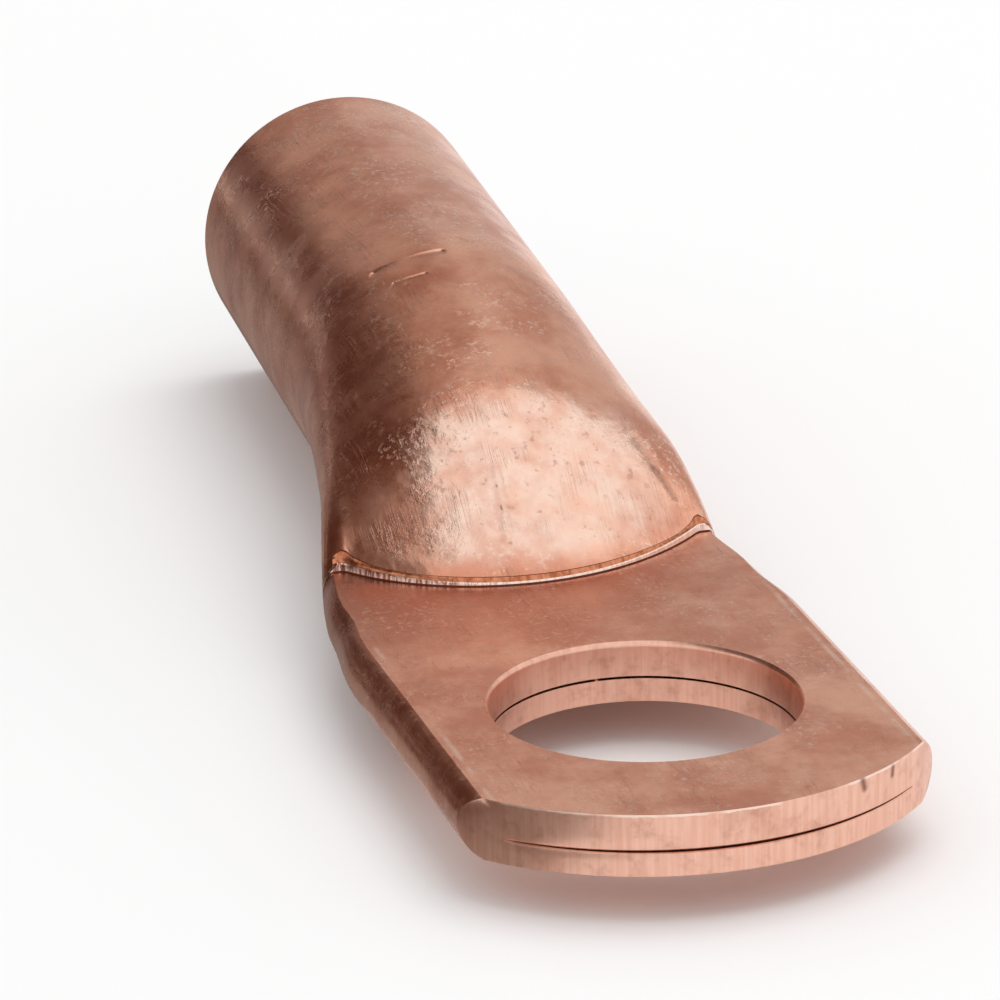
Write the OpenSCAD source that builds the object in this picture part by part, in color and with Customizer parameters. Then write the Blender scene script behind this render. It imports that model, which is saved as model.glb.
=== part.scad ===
// Copper cable lug: one tube, one end pressed flat into a palm with a bolt hole.
// Units are mm.  Origin: bolt hole centre on the seating underside of the palm.
// +X runs from the hole towards the barrel, +Z up off the seating face.

/* [Palm] */
// thickness of the pressed palm, both tube walls together
palm_t = 2.18; // [1.8:0.02:2.8]
// full width of the palm over its side folds
palm_w = 16.5; // [15:0.1:18.5]
// how far each side fold bulges past the flat face
fold_bulge = 0.65; // [0.4:0.05:0.85]
// distance from the hole centre to the front edge
front_reach = 9.8; // [8.5:0.1:13]
// radius of the sheared front edge
front_r = 10.1; // [9.6:0.1:16]
// height of the closed seam between the two walls above the seat
seam_z = 0.88; // [0.6:0.02:1.1]
// gap left at the closed seam
seam_gap = 0.08; // [0.04:0.02:0.16]
// solid metal between each end of the seam and the side of the palm
seam_inset = 1.25; // [1:0.05:1.8]

/* [Bolt hole] */
// diameter of the bolt hole
hole_d = 10.5; // [6.4:0.1:11]
// rolled-over lead at the top rim of the hole
hole_lead = 0.15; // [0.05:0.05:0.3]

/* [Neck] */
// how much each side narrows from the palm to the neck
neck_in = 0.45; // [0.1:0.05:1]
// length over which the sides narrow, ahead of the neck step
neck_run = 4; // [2.5:0.5:6]
// distance from the hole centre to the foot of the neck step
neck_x = 11.4; // [10.4:0.1:12.4]
// radius of the curved neck step, seen from above
neck_r = 8.4; // [8:0.1:12]
// distance from the hole centre to the ends of the neck step
neck_end_x = 14.5; // [13.5:0.1:15.5]
// height of the step at the foot of the neck
neck_step = 0.3; // [0.2:0.05:0.6]
// distance from the hole centre to the end of the shoulder, along the barrel
flare_end = 28.5; // [26:0.5:32]
// distance from the hole centre to the shoulder, where the steep face over the neck ends
shoulder_x = 17.3; // [15.5:0.1:20]
// share of the full pressing already reached at the shoulder
shoulder_share = 0.33; // [0.2:0.01:0.5]
// shape of the long slope behind the shoulder, higher keeps the barrel round for longer
slope_shape = 1.5; // [1.1:0.05:2.5]
// share of the step's curve that the foot of the shoulder follows
foot_bow = 0.5; // [0:0.05:1]
// shape of the side flare, higher keeps it narrow for longer
flare = 1.35; // [1:0.05:2]

/* [Barrel] */
// outside diameter of the barrel
barrel_d = 11; // [10.6:0.1:12]
// bore for the stripped conductor
bore_d = 8; // [6.4:0.1:8.6]
// distance from the hole centre to the barrel mouth, along the barrel
mouth_x = 46.4; // [38:0.2:60]
// height of the barrel axis above the seat
axis_z = 3.9; // [3.6:0.1:6]
// sideways turn of the barrel against the palm, in degrees
barrel_turn = 3.6; // [0:0.1:5]
// distance from the hole centre to the point the barrel turns about
turn_x = 9; // [8:0.5:13]
// broken edge at the barrel mouth
mouth_edge = 0.15; // [0.05:0.05:0.4]

/* [Hidden] */
$fn = 96;
copper = "#b87358";
r_out = barrel_d / 2;
r_in = bore_d / 2;
// how far the shoulder runs on inside the parts it joins
lap = 1;
// how much smaller the shoulder is than the parts it runs into
ease = 0.03;
// metal the presses shear away from each flat face
trim = 0.1;
// how softly the steep face runs into the slope behind it
shoulder_ease = 0.08;
// the foot of the shoulder sits just behind the step, so the step wall is full height
foot_x = neck_x + 0.4;
// where the straight sides of the palm end and the neck begins to narrow
side_x = neck_x - neck_run;
// where the straight, exactly round barrel and its bore begin
barrel_x = flare_end + 0.4 * lap;
n_fold = 4;
n_flat = 6;
n_slit = 24;
n_neck = 4;
n_rise = 14;

// one quarter of a flattened ring from its side to its middle: fold angle, share of the flat run
function quarter_step(k) =
    k <= n_fold ? [90 * k / n_fold, 0] : [90, (k - n_fold) / n_flat];

// point k on a quarter of the pressed section, half width a, half height h
function pressed_q(k, a, h) =
    let (q = quarter_step(k))
    [(a - h) * (1 - q[1]) + h * cos(q[0]), h * sin(q[0])];

// matching point on the round tube, so that metal stays where it was before pressing
function round_q(k, a, h) =
    let (q = quarter_step(k), arc = h * PI / 2, run = a - h)
    let (t = 90 * (arc * q[0] / 90 + run * q[1]) / (arc + run))
    [cos(t), sin(t)];

// quarter step and mirror signs of point i round the whole ring
function around(i) =
    let (m = n_fold + n_flat, c = floor(i / m), k = i % m)
    c == 0 ? [k, 1, 1] : c == 1 ? [m - k, -1, 1] : c == 2 ? [k, -1, -1] : [m - k, 1, -1];

// share of the way from the barrel at a to the point b, at distance x
function share(x, a, b) = min(1, max(0, (a - x) / (a - b)));
function spread(x) = pow(share(x, flare_end, foot_x), flare);

// the larger of a and b, with the corner between them eased over k
function soft_max(a, b, k) = max(a, b) + pow(max(0, k - abs(a - b)), 2) / (4 * k);

// share of the full pressing at distance x: a long slope, then the steep face over the neck
function lower(x) =
    let (slope = shoulder_share * pow(max(0, (flare_end - x) / (flare_end - shoulder_x)), slope_shape),
         face = shoulder_share + (1 - shoulder_share) * (shoulder_x - x) / (shoulder_x - foot_x))
    x <= foot_x ? 1 : x >= flare_end ? 0 : min(1, soft_max(slope, face, shoulder_ease));

// how far the foot of the shoulder bows back at the distance y from the middle of the palm
function bow(y) =
    let (end_y = sqrt(pow(neck_r, 2) - pow(neck_x + neck_r - neck_end_x, 2)))
    foot_bow * (neck_r - sqrt(pow(neck_r, 2) - pow(min(abs(y), end_y), 2)));

// the shoulder's rows bow fully at its foot and straighten towards the palm and the barrel
function follow(x) =
    x < foot_x ? max(0, (x - side_x) / (foot_x - side_x)) : pow(share(x, flare_end, foot_x), 2);

// mix of the pressed point p and the round point c, at distance x, in the row that starts at s
function mix(x, s, p, c) =
    [spread(x) * p[0] + (1 - spread(x)) * c[0],
     lower(s) * p[1] + (1 - lower(s)) * (axis_z + c[1])];

// 0 to 1 with level ends
function smooth(u) = let (v = min(1, max(0, u))) v * v * (3 - 2 * v);

// sets a section point p at distance x: straight over the palm, turned with the barrel after it
function place(x, p) =
    let (w = smooth((x - neck_x) / 8), a = w * barrel_turn, d = x - turn_x)
    [x + w * d * (cos(barrel_turn) - 1) + p[0] * sin(a), -w * d * sin(barrel_turn) + p[0] * cos(a), p[1]];

// how far the neck has drawn in at distance x
function draw_in(x) = neck_in * smooth((x - side_x) / (foot_x - side_x));

// outer row of the pressed tube that starts at distance s in the middle
function outer_ring(s) =
    let (h = (palm_t + neck_step + trim) / 2, w = palm_w / 2 - 2 * ease)
    [for (i = [0:4 * (n_fold + n_flat) - 1])
        let (g = around(i), x = s + follow(s) * bow(pressed_q(g[0], w, h)[0]),
             p = pressed_q(g[0], w - draw_in(x), h), c = (r_out - ease) * round_q(g[0], w, h))
        place(x, mix(x, s, [g[1] * p[0], h - trim + g[2] * p[1]], [g[1] * c[0], g[2] * c[1]]))];

// inner row that starts at distance s: the bore closes down to the seam between the walls
function inner_ring(s) =
    let (w = palm_w / 2 - seam_inset, r = r_in - ease)
    [for (i = [0:n_slit - 1])
        let (t = 360 * (i + 0.5) / n_slit, x = s + follow(s) * bow(w * cos(t)), a = w - draw_in(x))
        place(x, mix(x, s, [a * cos(t), seam_z + seam_gap / 2 * sin(t)], [r * cos(t), r * sin(t)]))];

// closed skin over a row of rings
module skin(rings) {
    n = len(rings[0]);
    last = (len(rings) - 1) * n;
    walls = [for (j = [0:len(rings) - 2], i = [0:n - 1])
        let (p = j * n + i, q = j * n + (i + 1) % n)
        each [[p, q + n, q], [p, p + n, q + n]]];
    end_a = [[for (i = [0:n - 1]) i]];
    end_b = [[for (i = [n - 1:-1:0]) last + i]];
    polyhedron(points = [for (s = rings) each s], faces = concat(walls, end_a, end_b), convexity = 4);
}

// puts its children on the barrel's axis, with +Z along the barrel
module on_barrel(x) {
    translate([turn_x, 0, axis_z])
        rotate([0, 0, -barrel_turn])
            translate([x - turn_x, 0, 0])
                rotate([0, 90, 0])
                    children();
}

// end view of the palm before its faces are pressed flat, with a bulging fold at each side
module palm_section() {
    fold_r = (pow(palm_t / 2, 2) + pow(fold_bulge, 2)) / (2 * fold_bulge);
    square([palm_w - 2 * fold_r, 2 * fold_r], center = true);
    for (s = [-1, 1])
        translate([s * (palm_w / 2 - fold_r), 0])
            circle(r = fold_r);
}

// the palm seen from above: square sides and a sheared curved front
module palm_plan() {
    front_x = front_r - front_reach;
    translate([front_x, 0])
        circle(r = front_r, $fn = 180);
    translate([front_x, -palm_w])
        square([side_x - front_x, 2 * palm_w]);
}

module palm() {
    intersection() {
        translate([side_x, 0, palm_t / 2])
            rotate([90, 0, -90])
                linear_extrude(height = side_x + front_reach + 2)
                    palm_section();
        translate([0, 0, -palm_t])
            linear_extrude(height = 3 * palm_t)
                palm_plan();
    }
}

// upper press: flattens the palm, and its curved edge shears the step at the neck
module upper_press() {
    translate([0, 0, palm_t])
        linear_extrude(height = barrel_d)
            difference() {
                translate([-front_reach - 1, -palm_w])
                    square([neck_end_x + front_reach + 1, 2 * palm_w]);
                translate([neck_x + neck_r, 0])
                    circle(r = neck_r, $fn = 180);
            }
}

// lower press: flattens the seat
module lower_press() {
    translate([-front_reach - 1, -palm_w, -barrel_d])
        cube([neck_x + front_reach + 2, 2 * palm_w, barrel_d]);
}

// the tube from the palm through the neck and over the shoulder into the barrel
module pressed_shoulder() {
    neck = [for (j = [0:n_neck - 1]) side_x - lap + (foot_x - side_x + lap) * j / n_neck];
    rise = [for (j = [0:n_rise]) foot_x + (flare_end - foot_x) * j / n_rise];
    skin([for (x = concat(neck, rise, [flare_end + lap])) outer_ring(x)]);
}

// what is left of the tube's hollow, from the front edge to the bottom of the bore
module closing_hollow() {
    rise = [for (j = [0:n_rise]) foot_x + (flare_end - foot_x) * j / n_rise];
    skin([for (x = concat([-front_reach - 1, side_x], rise, [flare_end + lap])) inner_ring(x)]);
}

module barrel() {
    len = mouth_x - barrel_x;
    on_barrel(barrel_x)
        rotate_extrude()
            polygon([[0, 0], [r_out, 0], [r_out, len - mouth_edge], [r_out - mouth_edge, len], [0, len]]);
}

module bore() {
    len = mouth_x - barrel_x;
    on_barrel(barrel_x)
        rotate_extrude()
            polygon([[0, 0], [r_in, 0], [r_in, len - mouth_edge],
                     [r_in + mouth_edge * 2, len + mouth_edge], [0, len + mouth_edge]]);
}

module bolt_hole() {
    translate([0, 0, -1])
        cylinder(d = hole_d, h = palm_t + 2);
    translate([0, 0, palm_t - hole_lead])
        cylinder(r1 = hole_d / 2, r2 = hole_d / 2 + 2 * hole_lead, h = 2 * hole_lead);
}

module cable_lug() {
    color(copper)
        difference() {
            union() {
                palm();
                pressed_shoulder();
                barrel();
            }
            upper_press();
            lower_press();
            bolt_hole();
            closing_hollow();
            bore();
        }
}

cable_lug();
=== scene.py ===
import math
import bpy
import numpy as np
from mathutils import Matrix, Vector


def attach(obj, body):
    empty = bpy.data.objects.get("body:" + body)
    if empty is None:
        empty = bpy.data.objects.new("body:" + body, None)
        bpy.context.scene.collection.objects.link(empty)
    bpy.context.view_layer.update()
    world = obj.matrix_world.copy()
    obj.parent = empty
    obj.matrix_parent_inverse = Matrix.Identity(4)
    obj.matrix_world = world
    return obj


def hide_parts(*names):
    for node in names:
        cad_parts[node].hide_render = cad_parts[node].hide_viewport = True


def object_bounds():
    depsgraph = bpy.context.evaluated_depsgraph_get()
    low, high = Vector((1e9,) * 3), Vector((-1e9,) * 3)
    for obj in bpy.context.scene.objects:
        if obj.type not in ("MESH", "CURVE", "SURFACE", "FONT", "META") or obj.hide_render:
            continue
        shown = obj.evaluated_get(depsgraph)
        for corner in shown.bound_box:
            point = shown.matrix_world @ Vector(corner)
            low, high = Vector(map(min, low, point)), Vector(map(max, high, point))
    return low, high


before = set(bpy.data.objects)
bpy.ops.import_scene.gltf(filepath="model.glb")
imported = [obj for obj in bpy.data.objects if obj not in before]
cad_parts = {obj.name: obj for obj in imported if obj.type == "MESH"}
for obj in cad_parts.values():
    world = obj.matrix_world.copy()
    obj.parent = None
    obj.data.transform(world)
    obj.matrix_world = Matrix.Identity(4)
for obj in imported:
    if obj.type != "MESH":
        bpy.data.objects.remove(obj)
cad_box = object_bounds()


# ---- The pressed tube ------------------------------------------------------------------------
# One length of drawn copper tube.  The barrel stays as drawn; the other end is squeezed between
# two presses into the palm, and the curved edge of the upper press shears a step at the neck.

# sizes are in millimetres from the hole's centre on the seat, X towards the barrel, Z up
MM = 0.001

# the palm: two tube walls pressed flat on each other, with a fold at each side that bulges 0.65
palm_t = 2.18
palm_w = 16.5
fold_r = 1.239
front_reach = 9.8
front_r = 10.1
seam_z = 0.88
seam_gap = 0.08
seam_inset = 1.25

# the neck: the sides draw in, the tube stands a little higher, and a curved step is sheared
side_x = 7.4
neck_in = 0.45
rise_x = 9.5
neck_x = 11.4
neck_r = 8.4
neck_end_x = 14.5
neck_step = 0.3
trim = 0.1

# the shoulder: a steep face over the neck, then a long slope up to the round barrel
foot_x = 11.8
foot_bow = 0.5
bow_more = 0.8
bow_more_x = 16.5
bow_more_run = 3
shoulder_x = 17.3
shoulder_share = 0.33
shoulder_ease = 0.08
slope_shape = 1.5
flare_end = 28.5
flare_shape = 1.35

# the barrel, turned a little sideways against the palm
barrel_r = 5.5
bore_r = 4.0
bore_bottom_x = 28.9
mouth_x = 46.4
mouth_edge = 0.15
axis_z = 3.9
barrel_turn = math.radians(3.6)
turn_x = 9.0
turn_run = 8

# points round the tube: along each fold, up to where the press flattens it, and over the flats
FOLD = 12
CORNER = 8
FLAT = 26
QUARTER = FOLD + FLAT
AROUND = 4 * QUARTER

# a row's place and its width depend on each other, so they are worked out in a few rounds
ROUNDS = 6


def smooth(u):
    """0 to 1 with level ends."""
    v = np.clip(u, 0, 1)
    return v * v * (3 - 2 * v)


def quarters():
    """Step within its quarter, and the two mirror signs, of each point round the tube."""
    step, across, up = [], [], []
    for i in range(AROUND):
        c, k = divmod(i, QUARTER)
        step.append(k if c in (0, 2) else QUARTER - k)
        across.append(1 if c in (0, 3) else -1)
        up.append(1 if c in (0, 1) else -1)
    return np.array(step, float), np.array(across, float), np.array(up, float)


STEP, ACROSS, UP = quarters()


def front_line(y):
    """Distance x of the sheared front edge."""
    return front_r - front_reach - np.sqrt(np.maximum(front_r ** 2 - y ** 2, 0))


def neck_line(y):
    """Distance x of the step at the neck."""
    arc = neck_x + neck_r - np.sqrt(np.maximum(neck_r ** 2 - y ** 2, 0.01))
    return np.minimum(arc, neck_end_x)


def spread(x):
    """Share of the way from the barrel's width to the palm's."""
    return np.clip((flare_end - x) / (flare_end - foot_x), 0, 1) ** flare_shape


def lower(x, y):
    """Share of the full pressing: a long slope, then the steep face, whose foot bows with the step."""
    arc = foot_bow * (neck_line(y) - neck_x)
    arc = arc * (1 + bow_more * smooth((bow_more_x - x) / bow_more_run))
    s = x
    for _ in range(ROUNDS):
        before_foot = np.clip((s - side_x) / (foot_x - side_x), 0, 1)
        behind_foot = np.clip((flare_end - s) / (flare_end - foot_x), 0, 1) ** 2
        s = x - arc * np.where(s < foot_x, before_foot, behind_foot)
    slope = shoulder_share * np.maximum((flare_end - s) / (flare_end - shoulder_x), 0) ** slope_shape
    face = shoulder_share + (1 - shoulder_share) * (shoulder_x - s) / (shoulder_x - foot_x)
    pressed = np.maximum(slope, face)
    pressed = pressed + np.maximum(shoulder_ease - abs(slope - face), 0) ** 2 / (4 * shoulder_ease)
    return np.where(s <= foot_x, 1, np.where(s >= flare_end, 0, np.minimum(1, pressed)))


def fold_of(x):
    """Half height and middle height of the fold at distance x."""
    to_neck = smooth((x - rise_x) / (foot_x - rise_x))
    half = fold_r + to_neck * ((palm_t + neck_step + trim) / 2 - fold_r)
    middle = palm_t / 2 + to_neck * ((palm_t + neck_step - trim) / 2 - palm_t / 2)
    return half, middle


def fold_angle(x):
    """Angle on the fold: even up to the press line, then on to the flat."""
    half, middle = fold_of(x)
    face = np.where(UP > 0, palm_t - middle, middle)
    press_line = np.arcsin(np.clip(face / half, 0, 0.98))
    low = press_line * STEP / CORNER
    high = press_line + (math.pi / 2 - press_line) * (STEP - CORNER) / (FOLD - CORNER)
    return np.where(STEP <= CORNER, low, np.minimum(high, math.pi / 2))


def side_of(x):
    """How far the neck has drawn in at distance x."""
    return neck_in * smooth((x - side_x) / (foot_x - side_x))


def place(x, across, z):
    """Carries a section point to its place: straight over the palm, turned with the barrel."""
    w = smooth((x - neck_x) / turn_run)
    a = w * barrel_turn
    d = x - turn_x
    return np.stack([x + w * d * (math.cos(barrel_turn) - 1) + across * np.sin(a),
                     -w * d * math.sin(barrel_turn) + across * np.cos(a), z], -1)


def outer_section(x, flatten=True):
    """Outside of the tube at distance x, one x for each point round it."""
    half, middle = fold_of(x)
    reach = palm_w / 2 - side_of(x) - half
    angle = fold_angle(x)
    run = np.clip((STEP - FOLD) / FLAT, 0, 1)
    y = reach * (1 - run) + half * np.cos(angle)
    z = half * np.sin(angle)
    share = (half * angle + reach * run) / (half * math.pi / 2 + reach)
    t = share * math.pi / 2
    wide, low = spread(x), lower(x, y)
    y = wide * y + (1 - wide) * barrel_r * np.cos(t)
    z = low * (middle + UP * z) + (1 - low) * (axis_z + UP * barrel_r * np.sin(t))
    if flatten:
        z = np.minimum(z, palm_t)
    z = np.where(x < neck_x + 1, np.maximum(z, 0), z)
    return ACROSS * y, z, t


def inner_section(x):
    """Inside of the tube at distance x: the bore closing down to the seam."""
    slit = palm_w / 2 - seam_inset - side_of(x)
    _, _, t = outer_section(x)
    wide, low = spread(x), lower(x, slit * np.cos(t))
    y = (wide * slit + (1 - wide) * bore_r) * np.cos(t)
    z = low * (seam_z + UP * seam_gap / 2 * np.sin(t)) + (1 - low) * (axis_z + UP * bore_r * np.sin(t))
    return ACROSS * y, z


def follow(s, y):
    """Distance x of a row: it runs along the front edge, then straight, then along the neck."""
    start, front_end = -front_reach, -2.0
    front = front_line(y) + (s - start) / (front_end - start) * (front_end - front_line(y))
    bend_x, bend_run = 5.6, 5.4
    straight_x, straight_run = 12.2, 9.0
    bend = smooth((s - bend_x) / bend_run) * (1 - smooth((s - straight_x) / straight_run))
    return np.where(s < front_end, front, s + bend * (neck_line(y) - neck_x))


def outer_row(s):
    """Outside row that crosses the middle of the lug at distance s."""
    y = np.zeros(AROUND)
    for _ in range(ROUNDS):
        x = follow(s, y)
        y, z, _t = outer_section(x, flatten=s <= neck_x)
    return x, y, z


# each row: its points round the tube, and the finish of the faces that lead on to the next row
DRAWN, SHEARED, OXIDE_AND_SHADE, SHADED_CREASE = 0, 1, 2, 3
rows = []

# outside, from the barrel's mouth to the neck
barrel_rows = np.linspace(mouth_x - mouth_edge, flare_end, 30)
shoulder_rows = np.linspace(flare_end, 12.2, 60)[1:]
for s in np.concatenate([barrel_rows, shoulder_rows]):
    x, y, z = outer_row(s)
    rows.append((place(x, y, z), DRAWN))

# the sheared step: the crease that overhangs it, its darker tint painted shade, the dark line under that,
# oxide and painted shade, and the bright wall, all of them higher towards the sides of the neck, and the
# crease deepest on the +Y side
x, y, z = outer_row(neck_x)
line = follow(neck_x, y)
side = np.clip(np.abs(y) / 7.0, 0, 1) ** 2
wall = 0.12 + 0.2 * side
depth = 0.14 + (0.16 + 0.14 * (y > 0)) * side
over = outer_section(line, flatten=False)[1]
stands = smooth((over - palm_t) / 0.12) * (UP > 0)
lip = palm_t + wall
# each row's share of the crease's depth, and the share of the shoulder's height over the lip that
# it keeps, or its drop below the lip in millimetres; a few hundredths keep the rows apart
step_rows = (
    (1.0, 1.0, OXIDE_AND_SHADE),
    (0.96, 0.86, SHADED_CREASE),
    (0.8, 0.45, SHADED_CREASE),
    (0.55, 0.12, SHADED_CREASE),
    (0.38, -0.02, OXIDE_AND_SHADE),
    (0.3, -0.04, SHEARED),
    (0.18, 0.0, SHEARED),
    (0.02, -0.04, SHEARED))
for back, rise, finish in step_rows:
    xb = line + 0.02 + depth * back
    yb, zb, _t = outer_section(xb, flatten=False)
    stepped = lip + np.where(rise > 0, (np.maximum(zb, lip) - lip) * rise, rise)
    stepped = stands * np.minimum(stepped, np.maximum(zb, palm_t)) + (1 - stands) * zb
    rows.append((place(xb, yb, np.where(stands > 0, stepped, zb)), finish))
# the foot of the step on the palm, in oxide and painted shade
rows.append((place(line + 0.015, y, np.where(stands > 0, z + 0.05 * stands, z)), OXIDE_AND_SHADE))
rows.append((place(line, y, z), OXIDE_AND_SHADE))
rows.append((place(line - 0.06, y, z), DRAWN))

# the palm, out to its front edge
behind_hole = np.linspace(neck_x - 0.12, 9.6, 7)
round_hole = np.linspace(9.6, -9.3, 46)[1:]
for s in np.concatenate([behind_hole, round_hole, [-9.55, -9.7]]):
    x, y, z = outer_row(s)
    rows.append((place(x, y, z), DRAWN))

# the sheared front face, down into the seam, its two edges broken by a few hundredths
x, y, z = outer_row(-front_reach)
slit_y, slit_z = inner_section(x)
front_rows = ((0.0, 0.04), (0.03, 0.0), (0.3, 0.0), (0.6, 0.0), (0.88, 0.0), (0.96, 0.02), (1.0, 0.07))
for inward, broken in front_rows:
    yf = (1 - inward) * y + inward * slit_y
    zf = (1 - inward) * z + inward * slit_z
    rows.append((place(front_line(yf) + broken, yf, zf), SHEARED))

# inside: the seam, the closing hollow, the bore, and the turned edge of the mouth
seam_rows = np.linspace(-9.4, 11.0, 14)
hollow_rows = np.linspace(foot_x, flare_end, 26)
for s in np.concatenate([seam_rows, hollow_rows, [bore_bottom_x]]):
    y = np.zeros(AROUND)
    for _ in range(ROUNDS):
        x = follow(s, y)
        y, z = inner_section(x)
    rows.append((place(x, y, z), DRAWN))
_, _, around = outer_section(np.full(AROUND, mouth_x))
mouth_rows = (
    (40.0, bore_r, DRAWN),
    (mouth_x - mouth_edge, bore_r, DRAWN),
    (mouth_x - 0.03, bore_r + 0.1, DRAWN),
    (mouth_x, bore_r + 0.22, SHEARED),
    (mouth_x, barrel_r - 0.2, DRAWN),
    (mouth_x - 0.03, barrel_r - 0.07, DRAWN))
for s, r, finish in mouth_rows:
    x = np.full(AROUND, s)
    rows.append((place(x, ACROSS * r * np.cos(around), axis_z + UP * r * np.sin(around)), finish))

# a tube closed on itself through its own bore is a ring, so the rows are laid on a torus
bpy.ops.object.select_all(action="DESELECT")
bpy.ops.mesh.primitive_torus_add(major_segments=AROUND, minor_segments=len(rows),
                                 major_radius=0.02, minor_radius=0.005)
lug = bpy.context.object
lug.name = "pressed_tube"
points = np.stack([ring for ring, finish in rows], 1) * MM
lug.data.vertices.foreach_set("co", points.reshape(-1))
lug.data.update()
bpy.ops.object.mode_set(mode="EDIT")
bpy.ops.mesh.select_all(action="SELECT")
bpy.ops.mesh.normals_make_consistent(inside=False)
bpy.ops.object.mode_set(mode="OBJECT")


def linear(hex_colour):
    """An sRGB hex colour as the linear values a shader takes."""
    parts = [int(hex_colour[i:i + 2], 16) / 255 for i in (1, 3, 5)]
    return tuple(c / 12.92 if c <= 0.04045 else ((c + 0.055) / 1.055) ** 2.4 for c in parts) + (1,)


def node(tree, kind, settings, *inputs, **named):
    """Adds one node with its settings, and values or links for its inputs; gives its first output.

    The inputs are the ones in use, in their order, or are named, with spaces as underscores.
    """
    n = tree.nodes.new("ShaderNode" + kind)
    for key, value in settings.items():
        setattr(n, key, value)
    in_use = [socket for socket in n.inputs if socket.enabled]
    chosen = [(n.inputs[key.replace("_", " ")], value) for key, value in named.items()]
    for socket, value in list(zip(in_use, inputs)) + chosen:
        if isinstance(value, bpy.types.NodeSocket):
            tree.links.new(value, socket)
        else:
            socket.default_value = value
    return next(socket for socket in n.outputs if socket.enabled)


# settings that come back often: the sums of the Math nodes, an eased ramp, and a mix of colours
times = {"operation": "MULTIPLY"}
plus = {"operation": "ADD"}
times_plus = {"operation": "MULTIPLY_ADD"}
minus = {"operation": "SUBTRACT"}
unsigned = {"operation": "ABSOLUTE"}
larger = {"operation": "MAXIMUM"}
eased = {"interpolation_type": "SMOOTHSTEP"}
tints = {"data_type": "RGBA"}


def copper_material(name):
    """Bare copper: its material, node tree and shader, and the place on the lug in millimetres."""
    m = bpy.data.materials.new(name)
    m.use_nodes = True
    t = m.node_tree
    shader = t.nodes["Principled BSDF"]
    shader.inputs["Metallic"].default_value = 1.0
    on_lug = node(t, "TexCoord", {}).node.outputs["Object"]
    mm = node(t, "VectorMath", {"operation": "SCALE"}, on_lug, 1 / MM)
    return m, t, shader, mm


def mark(t, mm, start, end, width):
    """1 along a scratch from start to end, in mm, fading to 0 at width from its middle line."""
    run = [e - s for s, e in zip(start, end)]
    run_squared = sum(r * r for r in run)
    away = node(t, "VectorMath", minus, mm, start)
    along = node(t, "VectorMath", {"operation": "DOT_PRODUCT"}, away, [r / run_squared for r in run])
    along = node(t, "Clamp", {}, along)
    foot = node(t, "VectorMath", {"operation": "SCALE"}, run, along)
    off = node(t, "VectorMath", {"operation": "DISTANCE"}, away, foot)
    return node(t, "MapRange", eased, off, 0.0, width, 1.0, 0.0)


def hairlines(t, mm, turn, width, length):
    """Fine scratches, sparse and straight, lying at one angle on the surface."""
    lie = node(t, "Mapping", {}, mm, Rotation=(0, 0, turn), Scale=(1 / length, 1 / width, 1 / length))
    lie = node(t, "TexNoise", {}, lie, Scale=1.0, Detail=0.0, Roughness=0.5)
    lie = node(t, "Math", unsigned, node(t, "Math", minus, lie, 0.5))
    return node(t, "MapRange", eased, lie, 0.0, 0.012, 1.0, 0.0)


# Drawn copper tube, annealed and handled: a soft satin from the die, under a thin brown oxide in blotches,
# with the steep face of the shoulder paler, burnished where the press slid over it and partly a painted
# highlight.
drawn, t, shader, mm = copper_material("drawn_copper")
x, y, z = node(t, "SeparateXYZ", {}, mm).node.outputs

# the paler patch, from the step up the steep face, its middle 0.9 mm to the -Y side: burnish, and partly a
# painted highlight
burnish_and_highlight = node(t, "MapRange", eased, x, 16.8, 18.2, 1.0, 0.0)
burnish_and_highlight = node(t, "Math", times, burnish_and_highlight, node(t, "MapRange", eased, z, 2.45, 3.2))
off_middle = node(t, "Math", unsigned, node(t, "Math", plus, y, 0.9))
burnish_and_highlight = node(t, "Math", times, burnish_and_highlight, node(t, "MapRange", eased, off_middle, 3.2, 5.2, 1.0, 0.0))
patchy = node(t, "TexNoise", {}, mm, Scale=1 / 1.3, Detail=3.0, Roughness=0.58)
patchy = node(t, "MapRange", eased, patchy, 0.3, 0.68, 0.35, 1.0)

# the palm is painted browner close to the step, more towards the +Y side
near_step = node(t, "MapRange", eased, x, 4.5, 11.0)
near_step = node(t, "Math", times, near_step, node(t, "MapRange", eased, z, 2.3, 2.2))
near_step = node(t, "Math", times, near_step, node(t, "MapRange", eased, y, -6.5, 4.0, 0.2, 1.0))

# brown blotches of about 4 mm, paler specks of about half a millimetre
blotch = node(t, "TexNoise", {}, mm, Scale=1 / 3.6, Detail=5.0, Roughness=0.62)
blotch = node(t, "MapRange", eased, blotch, 0.36, 0.64)
speck = node(t, "TexNoise", {}, mm, Scale=1 / 0.6, Detail=3.0, Roughness=0.6)
speck = node(t, "MapRange", eased, speck, 0.5, 0.75)

# bright scuffs from other lugs in the box, in patches and fewer on the palm; a real one is about
# 0.05 mm wide, and they are drawn coarser, at 0.24 mm, so that they show
scuff = node(t, "TexNoise", {}, mm, Scale=1 / 0.24, Detail=4.0, Roughness=0.7)
scuff = node(t, "MapRange", eased, scuff, 0.51, 0.65)
patch = node(t, "TexNoise", {}, mm, Scale=1 / 2.6, Detail=3.0, Roughness=0.6)
patch = node(t, "MapRange", eased, patch, 0.44, 0.6)
scuff = node(t, "Math", times, scuff, patch)
scuff = node(t, "Math", times, scuff, node(t, "MapRange", eased, z, 2.3, 5.0, 0.6, 1.0))

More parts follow.
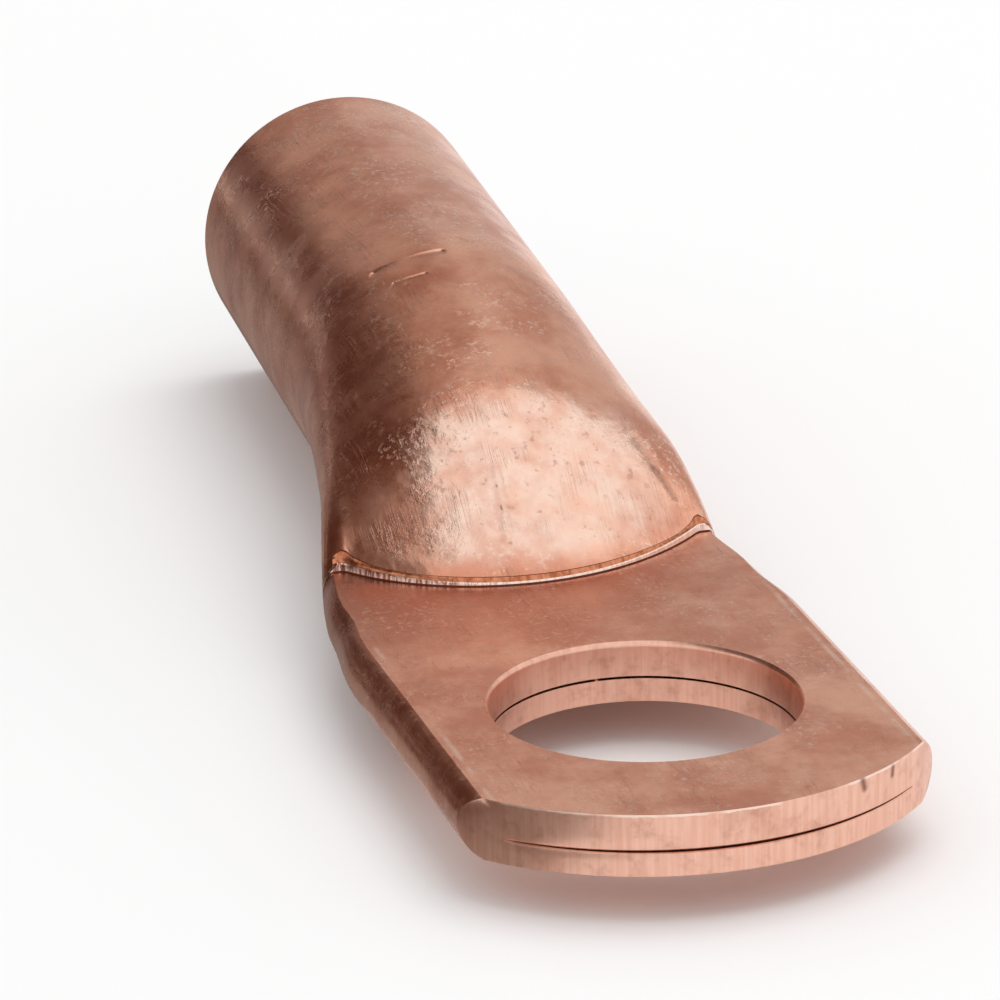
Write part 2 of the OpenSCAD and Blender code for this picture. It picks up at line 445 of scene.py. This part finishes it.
# the line where the flat of the palm turns down into its side fold is painted bright here and there: edge
# wear, and partly a painted highlight where the edge catches the light
edge_wear_and_highlight = node(t, "Math", minus, node(t, "Math", unsigned, y), 7.32)
edge_wear_and_highlight = node(t, "MapRange", eased, node(t, "Math", unsigned, edge_wear_and_highlight), 0.02, 0.16, 1.0, 0.0)
edge_wear_and_highlight = node(t, "Math", times, edge_wear_and_highlight, node(t, "MapRange", eased, x, 9.5, 8.0))
here_and_there = node(t, "TexNoise", {}, mm, Scale=1 / 1.4, Detail=3.0, Roughness=0.6)
edge_wear_and_highlight = node(t, "Math", times, edge_wear_and_highlight, node(t, "MapRange", eased, here_and_there, 0.38, 0.6))

tint = node(t, "Mix", tints, blotch, linear("#fbbfa3"), linear("#dc9478"))
# the patchy paler tint on the steep face: burnish, and partly a painted highlight
tint = node(t, "Mix", tints, node(t, "Math", times, burnish_and_highlight, patchy), tint, linear("#fddbc8"))
tint = node(t, "Mix", tints, near_step, tint, linear("#c98b74"))
tint = node(t, "Mix", tints, node(t, "Math", times, speck, 0.3), tint, linear("#dcb5a6"))
# bright: the scuffs, and the palm's edge, partly a painted highlight
bright = node(t, "Math", larger, node(t, "Math", times, scuff, 0.85), node(t, "Math", times, edge_wear_and_highlight, 0.7))
tint = node(t, "Mix", tints, bright, tint, linear("#ffdcc9"))

rough = node(t, "TexNoise", {}, mm, Scale=1 / 1.5, Detail=3.0, Roughness=0.6)
rough = node(t, "MapRange", eased, rough, 0.3, 0.7, 0.22, 0.32)
t.links.new(rough, shader.inputs["Roughness"])

# what the light catches, as heights in millimetres: the orange peel of annealed grain, drawn
# coarser than its real 0.1 mm so that it shows, and shallow dents where the press slid
peel = node(t, "TexNoise", {}, mm, Scale=1 / 0.55, Detail=3.0, Roughness=0.6)
peel = node(t, "Math", times, peel, node(t, "MapRange", eased, burnish_and_highlight, 0.0, 0.5, 0.4, 1.0))
height = node(t, "Math", times, peel, 0.034)
dents = node(t, "TexNoise", {}, mm, Scale=1 / 1.3, Detail=2.0, Roughness=0.5)
dents = node(t, "Math", times, dents, node(t, "Math", times, burnish_and_highlight, 0.09))
height = node(t, "Math", plus, height, dents)
height = node(t, "Math", times_plus, scuff, -0.006, height)
darkening = node(t, "TexNoise", {}, mm, Scale=1 / 0.35, Detail=2.0, Roughness=0.6)
darkening = node(t, "MapRange", eased, darkening, 0.6, 0.72)
darkening = node(t, "Math", times, darkening, node(t, "Math", times, burnish_and_highlight, 0.35))

# hairline scratches at three angles, each a real 0.02 mm wide and drawn coarser so that it shows
handled = node(t, "TexNoise", {}, mm, Scale=1 / 2.2, Detail=2.0, Roughness=0.5)
handled = node(t, "MapRange", eased, handled, 0.45, 0.62)
for turn, width, length in ((0.25, 0.16, 5.0), (1.2, 0.14, 3.5), (-0.6, 0.18, 4.0)):
    scratch = node(t, "Math", times, hairlines(t, mm, turn, width, length), handled)
    height = node(t, "Math", times_plus, scratch, -0.003, height)
    darkening = node(t, "Math", larger, darkening, node(t, "Math", times, scratch, 0.25))

# the deeper marks one by one: start, end, width, depth, and how much darker they are painted
marks = (
    # dents across the top of the barrel
    ((27.41, 1.53, 8.56), (27.12, -0.88, 9.24), 0.28, 0.13, 0.0),
    ((25.92, 1.2, 8.62), (25.71, 0.11, 8.95), 0.18, 0.06, 0.0),
    ((28.9, 1.0, 9.1), (28.2, -0.2, 9.38), 0.1, 0.03, 0.0),
    ((29.3, -0.4, 9.38), (28.3, -1.1, 9.3), 0.08, 0.025, 0.0),
    ((28.42, -1.88, 9.3), (27.91, -2.11, 9.24), 0.14, 0.05, 0.0),
    # the scored line down the middle of the shoulder, and the one beside it
    ((15.28, 0.8, 5.32), (14.6, 0.86, 4.75), 0.14, 0.012, 0.12),
    ((14.6, 0.86, 4.75), (13.9, 0.92, 4.18), 0.18, 0.018, 0.14),
    ((13.9, 0.92, 4.18), (12.94, 1.08, 3.37), 0.2, 0.02, 0.14),
    ((15.14, 0.52, 5.23), (14.2, 0.58, 4.44), 0.12, 0.012, 0.12),
    ((13.9, 0.6, 4.2), (13.3, 0.74, 3.7), 0.14, 0.014, 0.12),
    # the long dark fold down the -Y side of the shoulder, painted darker along its line
    ((16.6, -4.9, 5.1), (15.8, -5.42, 4.3), 0.4, 0.04, 0.3),
    ((15.8, -5.42, 4.3), (14.95, -5.96, 3.49), 0.3, 0.04, 0.45))
for start, end, width, deep, darker in marks:
    scratch = mark(t, mm, start, end, width)
    height = node(t, "Math", times_plus, scratch, -deep, height)
    if darker:
        darkening = node(t, "Math", larger, darkening, node(t, "Math", times, scratch, darker))
t.links.new(node(t, "Mix", tints, darkening, tint, linear("#8a5140")), shader.inputs["Base Color"])
t.links.new(node(t, "Bump", {}, Height=height, Strength=1.0, Distance=MM), shader.inputs["Normal"])

# Sheared copper, cut by the punch and the shear: a bright, clean wall with upright striations.
# A real striation is about 0.04 mm wide, and they are drawn at 0.16 mm so that they show.
sheared, t, shader, mm = copper_material("sheared_copper")
x, y, z = node(t, "SeparateXYZ", {}, mm).node.outputs
striation = node(t, "Mapping", {}, mm, Scale=(1, 1, 0.06))
striation = node(t, "TexNoise", {}, striation, Scale=1 / 0.16, Detail=2.0, Roughness=0.55)
tint = node(t, "MapRange", eased, striation, 0.3, 0.75)
tint = node(t, "Mix", tints, tint, linear("#f3c2ad"), linear("#e9b29b"))
# small stains of half a millimetre, and larger ones of 2 mm
stain = node(t, "TexNoise", {}, mm, Scale=1 / 0.45, Detail=3.0, Roughness=0.6)
stain = node(t, "MapRange", eased, stain, 0.5, 0.75, 0.0, 0.35)
tint = node(t, "Mix", tints, stain, tint, linear("#c58d76"))
stain = node(t, "TexNoise", {}, mm, Scale=1 / 1.8, Detail=4.0, Roughness=0.65)
stain = node(t, "MapRange", eased, stain, 0.45, 0.72, 0.0, 0.4)
tint = node(t, "Mix", tints, stain, tint, linear("#bd8670"))
# the wall of the step is streaked light and dark, most on the +Y side
streak = node(t, "Mapping", {}, mm, Scale=(1, 1, 0.1))
streak = node(t, "TexNoise", {}, streak, Scale=1 / 0.11, Detail=2.0, Roughness=0.6)
streak = node(t, "MapRange", eased, streak, 0.4, 0.6)
streak = node(t, "Math", times, streak, node(t, "MapRange", eased, y, 0.0, 4.5, 0.25, 0.9))
streak = node(t, "Mix", tints, streak, linear("#ffe8db"), linear("#8f5440"))
tint = node(t, "Mix", tints, node(t, "MapRange", eased, x, 10.6, 11.2), tint, streak)
# a ragged bright burr along the top of the front edge
ragged = node(t, "TexNoise", {}, mm, Scale=1 / 0.5, Detail=3.0, Roughness=0.6)
ragged = node(t, "Math", times_plus, ragged, 0.16, z)
broken = node(t, "TexNoise", {}, mm, Scale=1 / 1.7, Detail=2.0, Roughness=0.5)
broken = node(t, "MapRange", eased, broken, 0.42, 0.52)
burr = node(t, "Math", times, node(t, "MapRange", eased, ragged, 2.17, 2.21), broken)
burr = node(t, "Math", times, burr, node(t, "MapRange", eased, x, -5.0, -7.0))
tint = node(t, "Mix", tints, node(t, "Math", times, burr, 0.8), tint, linear("#ffe4d6"))
# two dark nicks in the front edge
first_nick = mark(t, mm, (-8.65, -4.68, 2.1), (-8.6, -4.75, 1.8), 0.22)
second_nick = mark(t, mm, (-7.8, -6.03, 2.05), (-7.83, -6.0, 1.8), 0.18)
nick = node(t, "Math", times, node(t, "Math", larger, first_nick, second_nick), 0.8)
tint = node(t, "Mix", tints, nick, tint, linear("#6d3f30"))
t.links.new(tint, shader.inputs["Base Color"])
shader.inputs["Roughness"].default_value = 0.34
bump = node(t, "Bump", {}, Height=striation, Strength=1.0, Distance=0.0022 * MM)
t.links.new(bump, shader.inputs["Normal"])

# Oxidised copper in the corners by the step, dull and dark: brown oxide and press grease, and partly painted
# shade where the step shades its corners.
corner, t, shader, mm = copper_material("oxide_and_painted_shade")
shader.inputs["Base Color"].default_value = linear("#7a4331")
shader.inputs["Roughness"].default_value = 0.6

# Crease over the step, where the copper is pulled over the edge of the upper press: a warm, half-bright tint
# darker than the drawn copper, which is painted shade, with drag lines drawn at 0.2 mm, coarser than real,
# so that they show.
shaded_crease, t, shader, mm = copper_material("crease_painted_shade")
drag = node(t, "Mapping", {}, mm, Scale=(1, 1, 0.15))
drag = node(t, "TexNoise", {}, drag, Scale=1 / 0.2, Detail=2.0, Roughness=0.6)
drag = node(t, "MapRange", eased, drag, 0.35, 0.7)
tint = node(t, "Mix", tints, drag, linear("#d98f6c"), linear("#a9603f"))
t.links.new(tint, shader.inputs["Base Color"])
shader.inputs["Roughness"].default_value = 0.3

for finish in (drawn, sheared, corner, shaded_crease):
    lug.data.materials.append(finish)
finish_of_row = [finish for ring, finish in rows]
for face in lug.data.polygons:
    in_rows = [v % len(rows) for v in face.vertices]
    first, last = min(in_rows), max(in_rows)
    face.material_index = finish_of_row[first] if last == first + 1 else DRAWN

# The bolt hole is punched from above: its top rim is drawn in a little, and the lower wall,
# torn through last, stands slightly proud of the upper one below the seam.
punch_outline = (
    (0, -1.5), (5.22, -1.5),
    (5.22, 0.84), (5.25, 0.86),
    (5.25, 1.98), (5.27, 2.06), (5.31, 2.13), (5.4, 2.22),
    (5.4, 3.5), (0, 3.5))
bpy.ops.object.select_all(action="DESELECT")
bpy.ops.mesh.primitive_circle_add(vertices=len(punch_outline), radius=0.005, fill_type="NOTHING")
punch = bpy.context.object
for v, (radius, up) in zip(punch.data.vertices, punch_outline):
    v.co = (radius * MM, 0, up * MM)
bpy.ops.object.mode_set(mode="EDIT")
bpy.ops.mesh.select_all(action="SELECT")
bpy.ops.mesh.spin(steps=192, angle=math.tau, center=(0, 0, 0), axis=(0, 0, 1))
bpy.ops.mesh.select_all(action="SELECT")
bpy.ops.mesh.remove_doubles(threshold=1e-7)
bpy.ops.mesh.normals_make_consistent(inside=False)
bpy.ops.object.mode_set(mode="OBJECT")
punch.data.materials.append(drawn)
punch.data.materials.append(sheared)
for face in punch.data.polygons:
    face.material_index = SHEARED
cut = lug.modifiers.new("bolt_hole", "BOOLEAN")
cut.operation = "DIFFERENCE"
cut.object = punch
cut.solver = "EXACT"
bpy.ops.object.select_all(action="DESELECT")
lug.select_set(True)
bpy.context.view_layer.objects.active = lug
bpy.ops.object.modifier_apply(modifier=cut.name)
bpy.data.objects.remove(punch)
# edges sharper than this stay crisp: the sheared ones and the rim of the hole
crisp_edge = math.radians(24)
bpy.ops.object.shade_smooth_by_angle(angle=crisp_edge)
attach(lug, "root")
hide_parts("cable_lug")


# ---- Floor, cards, lamp and camera -----------------------------------------------------------
# A plain pale table in a white room.  Brown and grey cards stand round it out of view, as in a
# studio, so that the bare metal has something dark to mirror that shows its form.
table_z = cad_box[0][2]
bpy.ops.mesh.primitive_plane_add(size=4, location=(0, 0, table_z))
floor = bpy.context.object
floor.name = "floor"
# Painted board, rolled matt: no shine, only a soft shadow under the lug.
painted = bpy.data.materials.new("matt_white_table")
painted.use_nodes = True
shader = painted.node_tree.nodes["Principled BSDF"]
shader.inputs["Base Color"].default_value = linear("#f7f7f7")
shader.inputs["Roughness"].default_value = 0.9
floor.data.materials.append(painted)

# what the cards and the lamp are aimed at: the middle of the lug
middle_x = 0.015


def aim(obj):
    """Turns a card or the lamp to face the lug."""
    obj.rotation_euler = (Vector((middle_x, 0, 0.003)) - obj.location).to_track_quat("-Z", "Y").to_euler()


def round_lug(azimuth, elevation, away):
    """A place at a distance from the lug; azimuth runs from +X towards +Y, both in degrees."""
    a, e = math.radians(azimuth), math.radians(elevation)
    return middle_x + away * math.cos(e) * math.cos(a), away * math.cos(e) * math.sin(a), away * math.sin(e)


def card(name, spot, wide, high, colour):
    """A card lying flat at its spot, seen only by the metal."""
    bpy.ops.mesh.primitive_plane_add(size=1, location=spot)
    c = bpy.context.object
    c.name = name
    c.scale = (wide, high, 1)
    c.visible_camera = c.visible_diffuse = c.visible_shadow = False
    m = bpy.data.materials.new(name)
    m.use_nodes = True
    m.node_tree.nodes.remove(m.node_tree.nodes["Principled BSDF"])
    glow = node(m.node_tree, "Emission", {}, Color=linear(colour), Strength=1.0)
    m.node_tree.links.new(glow, m.node_tree.nodes["Material Output"].inputs["Surface"])
    c.data.materials.append(m)
    return c


# cards that stand round the lug
aim(card("brown_card_left", round_lug(43, 22, 0.57), 0.8, 0.8, "#523c35"))
aim(card("brown_card_low", round_lug(32, -4, 0.5), 0.54, 0.26, "#5d453e"))
aim(card("tan_card_middle", round_lug(1, 26, 0.585), 0.27, 0.72, "#aa9b93"))
aim(card("brown_card_high", round_lug(84, 46, 0.55), 0.5, 0.5, "#614b42"))
aim(card("grey_card_behind", round_lug(-24, 26, 0.6), 0.98, 0.72, "#c8c2be"))

# cards that lie on the table, beside the lug and under its barrel; the two dim ones are painted shade,
# standing for the lug's shadow on the table where the metal mirrors it
on_table = table_z + 0.0002
card("painted_shade_beside_lug", (0.02, 0.0113, on_table), 0.3, 0.0055, "#9b938e")
card("brown_card_on_table", (0.02, 0.164, on_table), 0.3, 0.3, "#5d463f")
card("painted_shade_under_barrel", (0.085, -0.001, on_table), 0.15, 0.02, "#958b86")

# a broad soft lamp overhead, which the metal doesn't mirror
bpy.ops.object.light_add(type="SUN", location=(0.05, -0.12, 0.5))
lamp = bpy.context.object
lamp.data.angle = math.radians(50)
lamp.data.energy = 0.9
lamp.visible_glossy = False
aim(lamp)

# the white room: full white where it is seen or mirrored, a little less on the table
world = bpy.data.worlds.new("white_room")
bpy.context.scene.world = world
world.use_nodes = True
t = world.node_tree
room = t.nodes["Background"]
room.inputs["Color"].default_value = linear("#ffffff")
rays = node(t, "LightPath", {}).node.outputs
seen = node(t, "Math", larger, rays["Is Camera Ray"], rays["Is Glossy Ray"])
seen = node(t, "Math", larger, seen, rays["Is Transmission Ray"])
t.links.new(node(t, "MapRange", {}, seen, To_Min=0.8, To_Max=1.0), room.inputs["Strength"])

# a long lens in front of the palm and a little to its left, 21 degrees above the table
bpy.ops.object.camera_add(location=(-0.2068, 0.0664, 0.0915),
                          rotation=(math.radians(69.34), math.radians(0.66), math.radians(-106.77)))
camera = bpy.context.object
camera.data.lens = 251.65
camera.data.sensor_width = 36
camera.data.shift_x = 0.002
camera.data.shift_y = -0.0058
camera.data.clip_start = 0.01
bpy.context.scene.camera = camera
bpy.context.scene.view_settings.view_transform = "Standard"
